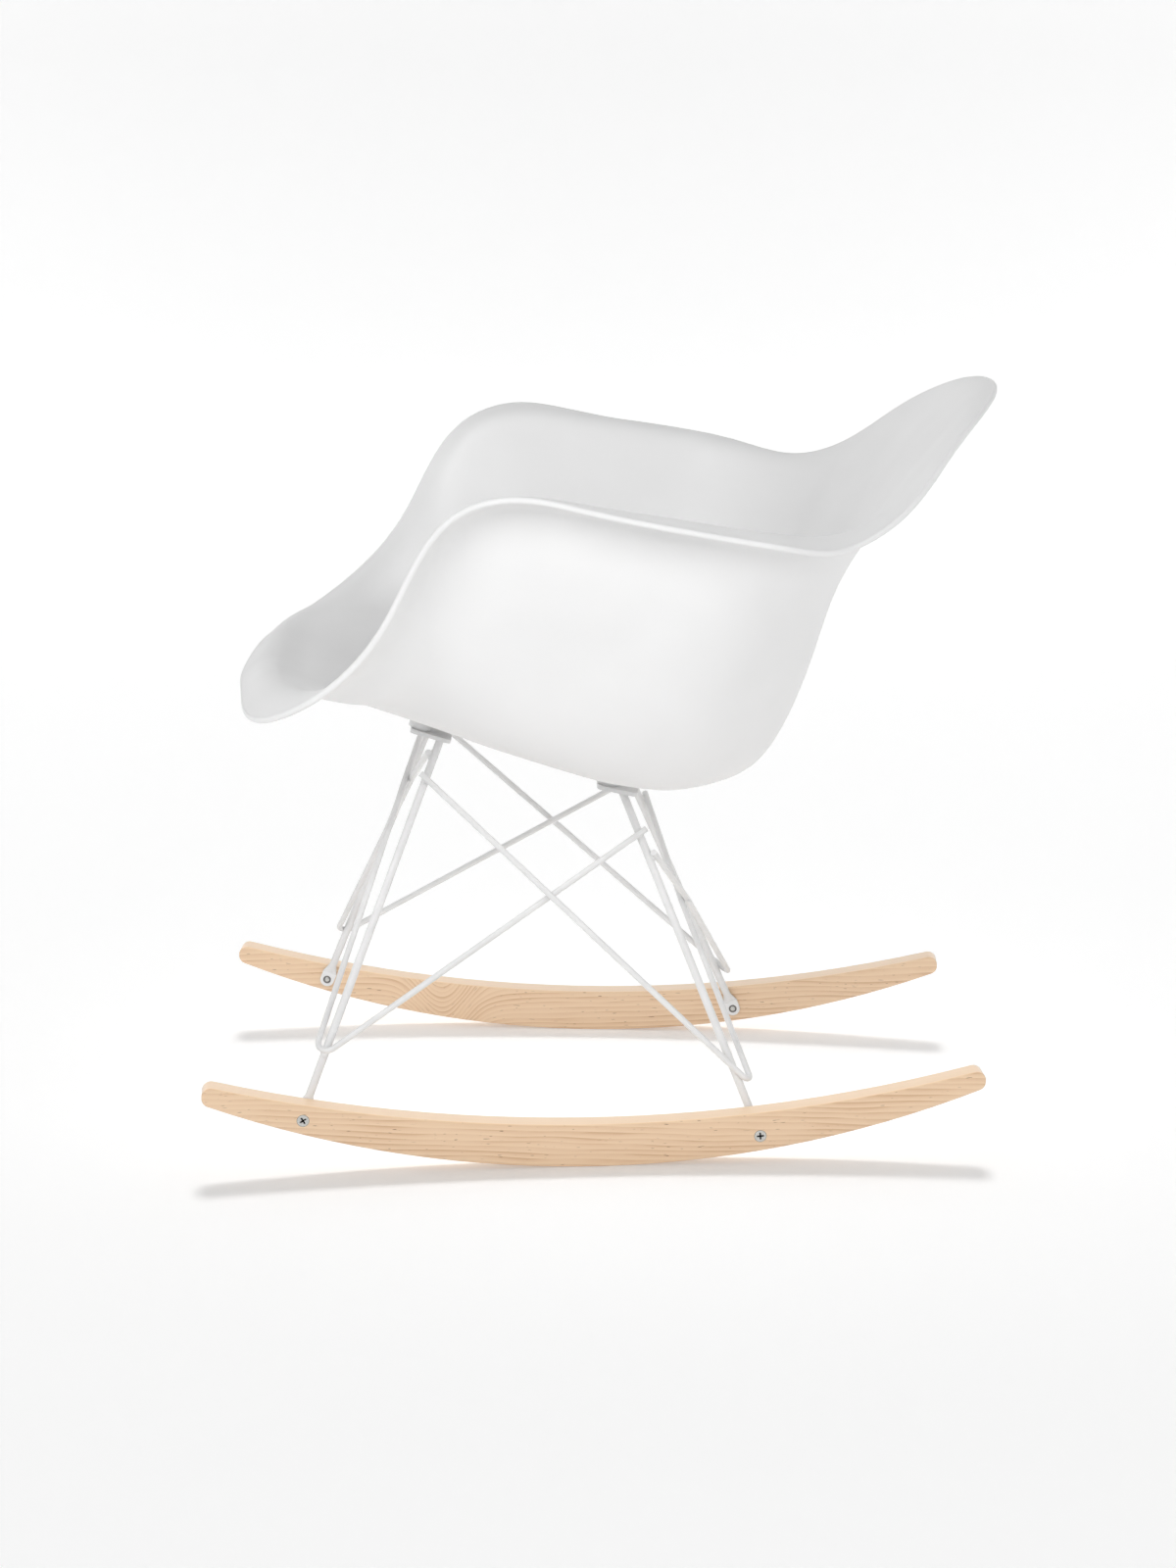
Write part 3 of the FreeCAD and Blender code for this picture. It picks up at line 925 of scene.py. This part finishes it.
def turned(name: str, spot: Spot, radii: np.ndarray, heights: np.ndarray, finish: Finish,
           segments: int, squash: float = 1.0, cut: np.ndarray | None = None,
           shade_from: float = math.inf) -> Object:
    """Solid of revolution, closed at both poles, with an optional cut into its first face.

    A point lies at the ring's radius, turned round z, and at the ring's height less the cut.

    Args:
        name: the piece's name.
        spot: where it sits; heights run along the spot's z.
        radii: radius of each ring in millimetres, without the two poles.
        heights: height of the first pole, of each ring and of the last pole.
        finish: its finish.
        segments: points in each ring.
        squash: scale of the spot's y, to flatten the piece.
        cut: depth to take away at each ring and segment.
        shade_from: radius from which a cut piece is painted dark, as shade in the gap round a sunk
            head.

    Returns:
        The new object.
    """
    body = rings_round_z(radii, heights[1:-1], segments) * [1.0, squash, 1.0]
    first = heights[0]
    if cut is not None:
        body[..., 2] -= cut
        first -= cut[0].max()
    points = np.vstack([body.reshape(-1, 3), [[0, 0, first], [0, 0, heights[-1]]]])
    index = np.arange(len(points) - 2).reshape(body.shape[:2])
    faces = quads(index.T, wrap=(1, 0))
    faces += fan(len(points) - 2, index[0]) + fan(len(points) - 1, index[-1, ::-1])
    item = mesh_object(name, spot.metres(points), faces, finish)
    if cut is not None:
        # painted shade: darkness from the cut's depth, with more on the rings at the rim of a sunk head
        painted_dark = np.clip(cut / RECESS_FADE, 0.0, 1.0) + RIM_SHADE * (radii >= shade_from)[:, None]
        dark = np.append(painted_dark.ravel(), [1.0, 0.0])
        item.data.attributes.new("recess", "FLOAT", "POINT").data.foreach_set("value", dark)
    return item


@dataclass(frozen=True)
class CrossRecess:
    """Cross-shaped driver recess: two crossed slots with sloping walls and a rounded floor."""

    half_length: float
    half_width: float
    depth: float
    turn: float
    wall: float = 0.35
    taper: float = 0.6

    def cut(self, radii: np.ndarray, segments: int) -> np.ndarray:
        """Depth to take away: the deeper of both slots, fading to their ends.

        Args:
            radii: radius of each ring.
            segments: points in each ring.

        Returns:
            Array of shape (rings, segments).
        """
        angles = np.linspace(0.0, 2 * np.pi, segments, endpoint=False) - self.turn
        x = np.abs(np.outer(radii, np.cos(angles)))
        y = np.abs(np.outer(radii, np.sin(angles)))
        slots = [np.maximum(a - self.half_length, b - self.half_width) for a, b in ((x, y), (y, x))]
        inside = np.clip(-np.minimum(*slots) / self.wall, 0.0, 1.0)
        taper = np.clip(1.0 - self.taper * radii / self.half_length, 0.0, 1.0)[:, None]
        return self.depth * taper * inside ** 2 * (3 - 2 * inside)


@dataclass(frozen=True)
class Weld:
    """A bead where a wire lies on a leg: its height, and the way from the leg to the wire."""

    name: str
    end: End
    height: float
    towards: Point


@dataclass(frozen=True)
class Corner:
    """One of the four corners of the base."""

    end: End
    side: Side

    @property
    def label(self) -> str:
        """The corner as the nodes' names give it."""
        return f"{self.end.value}_{self.side.name.lower()}"


@dataclass
class Hardware:
    """Screws with cross recesses, round nuts with chamfers, moulded bosses and weld beads.

    All sizes are in millimetres and match the solids that the pieces stand for, but for the
    hollow faces of the mount screws. Places come from the nodes' boxes in the frame. A
    profile lists radius and height.
    """

    rocker_thickness: float = 21.5
    rocker_toe: float = math.radians(3.45)
    nut_length: float = 4.2
    insert_length: float = 7.0
    plate_thickness: float = 3.5
    leg_radius: float = 3.6
    head_radius: float = 5.5
    head_height: float = 3.2
    head_round: float = 2.4
    hollow_radius: float = 4.9
    sunk_radius: float = 5.1
    tip: float = 0.5
    step: float = 0.1
    hairline: float = 0.05
    face_rings: int = 36
    segments: int = 96
    ripple: float = 0.05
    fillet_size: float = 2.4

    SUNK_HEAD = ((5.15, 0.0), (5.4, -0.12), (5.5, -0.35), (5.4, -0.5), (2.55, -2.9))
    NUT = ((2.55, 0.0), (3.4, 0.0), (3.7, -0.3), (3.7, -3.9), (3.4, -4.2), (2.95, -4.2),
           (2.55, -3.9), (2.55, -2.0))
    BOSS_FOOT = ((4.05, 0.0), (9.3, 0.0), (9.75, -0.2), (9.95, -0.6), (10.0, -2.0))
    BOSS_HEIGHT = {End.FRONT: 11.0, End.REAR: 13.5}
    RECESS_TURN = {End.FRONT: 0.55, End.REAR: 0.08}
    PLATE_SLOPE = {End.FRONT: math.radians(16.4), End.REAR: math.radians(11.9)}
    LEG_LOW = {End.FRONT: (-252.5, 201.0, 55.0), End.REAR: (139.7, 177.4, 31.5)}
    LEG_TOP = {End.FRONT: (-135.4, 110.0, 361.5), End.REAR: (24.2, 88.0, 308.7)}
    WELDS = (Weld("front_low", End.FRONT, 98.0, (0.17, 0.96, 0.22)),
             Weld("front_top", End.FRONT, 346.0, (-0.94, -0.01, 0.35)),
             Weld("front_side", End.FRONT, 327.0, (0.08, 0.96, 0.25)),
             Weld("rear_low", End.REAR, 73.0, (0.21, 0.91, 0.38)),
             Weld("rear_top", End.REAR, 252.0, (0.92, 0.03, 0.39)),
             Weld("rear_side", End.REAR, 272.0, (0.09, 0.93, 0.34)))
    CROSSINGS = {End.FRONT: ((-164.4, 0.0, 299.0), (-0.54, 0.0, 0.84)),
                 End.REAR: ((87.6, 0.0, 185.1), (0.68, 0.0, 0.73))}
    LEG_BEAD = (2.9, 4.6, 0.6)
    CROSSING_BEAD = (4.2, 1.9, 1.0)

    def build(self) -> None:
        """Make every screw, nut and boss on both sides, then the weld beads."""
        for end in End:
            for side in Side:
                corner = Corner(end, side)
                self.rocker_screw(corner)
                self.mount_screw(corner)
                self.nut(corner)
                self.boss(corner)
        log.info("screws, nuts and bosses made")
        self.welds()

    @staticmethod
    def middle(node: str) -> Point:
        """Middle of a node's box, in millimetres; for a cylinder it is the middle itself."""
        return tuple(np.mean(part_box(node), axis=0) / MM)

    def bolt_spot(self, end: End, outward: float) -> Spot:
        """Spot on a bolt of the right rocker; z points outward.

        Args:
            end: the bolt's end of the chair.
            outward: distance outward of the rocker's inner face.

        Returns:
            The spot.
        """
        sine, cosine = math.sin(self.rocker_toe), math.cos(self.rocker_toe)
        nut = self.middle(f"threaded_bush_{end.value}_right")
        spot = Spot(nut, (sine, cosine, 0.0), (cosine, -sine, 0.0))
        return spot.moved(self.nut_length / 2 + outward)

    def plate_spot(self, end: End) -> Spot:
        """Spot on the under face of the right plate at its screw; z points down.

        Args:
            end: the plate's end of the chair.

        Returns:
            The spot.
        """
        slope = self.PLATE_SLOPE[end]
        insert = self.middle(f"threaded_insert_{end.value}_right")
        spot = Spot(insert, (-math.sin(slope), 0.0, -math.cos(slope)))
        return spot.moved(self.insert_length / 2 + self.plate_thickness)

    def screw(self, name: str, spot: Spot, face: np.ndarray, head: np.ndarray, thread: float,
              length: float, recess: CrossRecess, shade_from: float = math.inf) -> Object:
        """Screw whose z points out of its head.

        Args:
            name: the piece's name.
            spot: the middle of its head's top.
            face: profile of the head's face, from the middle outward.
            head: profile from the face's edge round to the thread.
            thread: diameter of the thread.
            length: from the head's top to the tip.
            recess: the driver recess in the face.
            shade_from: radius from which the head is painted dark, as shade in the gap round it.

        Returns:
            The screw.
        """
        inner = np.linspace(self.step, head[0, 0] - self.step, self.face_rings)
        crown = np.interp(inner, face[:, 0], face[:, 1])
        radii = np.concatenate([inner, head[:, 0], thread / 2 - np.array([0.0, 0.0, self.tip])])
        heights = np.concatenate([crown[:1], crown, head[:, 1],
                                  [head[-1, 1] - self.step, self.tip - length, -length, -length]])
        cut = np.zeros((len(radii), self.segments))
        cut[:len(inner)] = recess.cut(inner, self.segments)
        return turned(name, spot, radii, heights, ZINC, self.segments, cut=cut,
                      shade_from=shade_from)

    def rocker_screw(self, corner: Corner) -> None:
        """Countersunk screw, flush with the outer face, its end showing inside the nut."""
        spot = self.bolt_spot(corner.end, self.rocker_thickness).on(corner.side)
        recess = CrossRecess(3.2, 0.75, 2.1, self.RECESS_TURN[corner.end])
        piece = self.screw(f"cross_screw_{corner.label}", spot, np.zeros((1, 2)),
                           np.array(self.SUNK_HEAD), thread=5.0, length=25.7, recess=recess,
                           shade_from=self.sunk_radius)
        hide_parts(f"rocker_screw_{corner.label}")
        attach(piece, "root")

    def mount_screw(self, corner: Corner) -> None:
        """Screw under a mounting plate, whose round head is hollow down to the plate.

        The head's edge lies at -head_round * (radius / head_radius) squared.
        """
        spot = self.plate_spot(corner.end).moved(self.head_height).on(corner.side)
        across = np.linspace(self.hollow_radius, self.head_radius, 4)
        edge = np.stack([across, -self.head_round * (across / self.head_radius) ** 2], axis=1)
        under = np.array([[self.head_radius, self.step - self.head_height],
                          [3.05, -self.head_height]])
        piece = self.screw(f"dome_screw_{corner.label}", spot, under[::-1],
                           np.vstack([edge, under]), thread=6.0, length=12.2,
                           recess=CrossRecess(2.9, 0.9, 2.2, 0.4))
        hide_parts(f"mount_screw_{corner.label}")
        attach(piece, "root")

    def ring(self, name: str, spot: Spot, profile: np.ndarray, finish: Finish) -> Object:
        """Ring round the spot's z.

        Args:
            name: the piece's name.
            spot: where it sits.
            profile: its profile, outward from the bore and round to it again.
            finish: its finish.

        Returns:
            The ring.
        """
        points = rings_round_z(profile[:, 0], profile[:, 1], self.segments).reshape(-1, 3)
        index = np.arange(len(points)).reshape(-1, self.segments)
        return mesh_object(name, spot.metres(points), quads(index.T, wrap=(1, 1)), finish)

    def nut(self, corner: Corner) -> None:
        """Round nut with chamfered rims."""
        spot = self.bolt_spot(corner.end, 0.0).on(corner.side)
        piece = self.ring(f"round_nut_{corner.label}", spot, np.array(self.NUT), BLACK_OXIDE)
        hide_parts(f"threaded_bush_{corner.label}")
        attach(piece, "root")

    def boss(self, corner: Corner) -> None:
        """Post moulded under the shell round an insert, from the plate's top into the wall."""
        spot = self.plate_spot(corner.end).moved(-self.plate_thickness - self.hairline)
        high = self.BOSS_HEIGHT[corner.end]
        inner, outer = self.BOSS_FOOT[0][0], self.BOSS_FOOT[-1][0]
        profile = np.array([*self.BOSS_FOOT, (outer, -high), (inner, -high)])
        piece = self.ring(f"shell_boss_{corner.label}", spot.on(corner.side), profile,
                          POLYPROPYLENE)
        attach(piece, "root")

    def welds(self) -> None:
        """Beads where wires lie on legs and on each other, and a fillet round each leg's top."""
        for side in Side:
            ending = side.name.lower()
            for weld in self.WELDS:
                low = np.array(self.LEG_LOW[weld.end])
                along = self.LEG_TOP[weld.end] - low
                towards = unit(np.array(weld.towards))
                at = low + along * ((weld.height - low[2]) / along[2]) + towards * self.leg_radius
                across = np.cross(towards, along)
                spot = Spot(tuple(at), tuple(along), tuple(across)).on(side)
                self.bead(f"weld_{weld.name}_{ending}", spot, self.LEG_BEAD)
            for end in End:
                spot = Spot(self.LEG_TOP[end], self.plate_spot(end).z).on(side)
                self.fillet(f"weld_plate_{end.value}_{ending}", spot)
        for end, (place, normal) in self.CROSSINGS.items():
            self.bead(f"weld_crossing_{end.value}", Spot(place, normal, (0.0, 1.0, 0.0)),
                      self.CROSSING_BEAD)
        log.info("weld beads laid")

    def bead(self, name: str, spot: Spot, size: Point) -> None:
        """Ellipsoid, radius times sqrt(1 - share squared), with fine ripples along z.

        Args:
            name: the bead's name.
            spot: its middle; z runs along the bead.
            size: its radius, half its length, and the scale of its thickness.
        """
        radius, half_length, squash = size
        share = np.linspace(-0.97, 0.97, 40)
        radii = radius * np.sqrt(1 - share ** 2) * (1 + self.ripple * np.sin(share * 30))
        heights = half_length * np.concatenate([[1.0], -share, [-1.0]])
        self.weld_piece(turned(name, spot, radii, heights, POWDER_COAT, 32, squash))

    def fillet(self, name: str, spot: Spot) -> None:
        """Hollow-sided cone round a leg under its plate.

        Args:
            name: the piece's name.
            spot: the leg's top; z points down, away from the plate.
        """
        turn = np.linspace(np.pi / 2, 0.0, 10)
        radii = self.leg_radius + self.hairline + self.fillet_size * (1 - np.sin(turn))
        heights = self.fillet_size * (1 - np.cos(turn))
        heights = np.concatenate([[self.fillet_size], heights, [0.0]])
        self.weld_piece(turned(name, spot, radii, heights, POWDER_COAT, 48))

    @staticmethod
    def weld_piece(piece: Object) -> None:
        """Let a weld, already made in the steel's own finish, ride on the chair."""
        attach(piece, "root")


def main() -> None:
    """Load the frame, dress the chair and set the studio."""
    logging.basicConfig(level=logging.INFO, format="%(name)s: %(message)s")
    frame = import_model()
    Seat(frame["nodes"]["seat_shell"]).build()
    Base(frame["nodes"]).build()
    Hardware().build()
    Studio().build([frame["nodes"]["rocker_left"], frame["nodes"]["rocker_right"]])


if __name__ == "__main__":
    main()
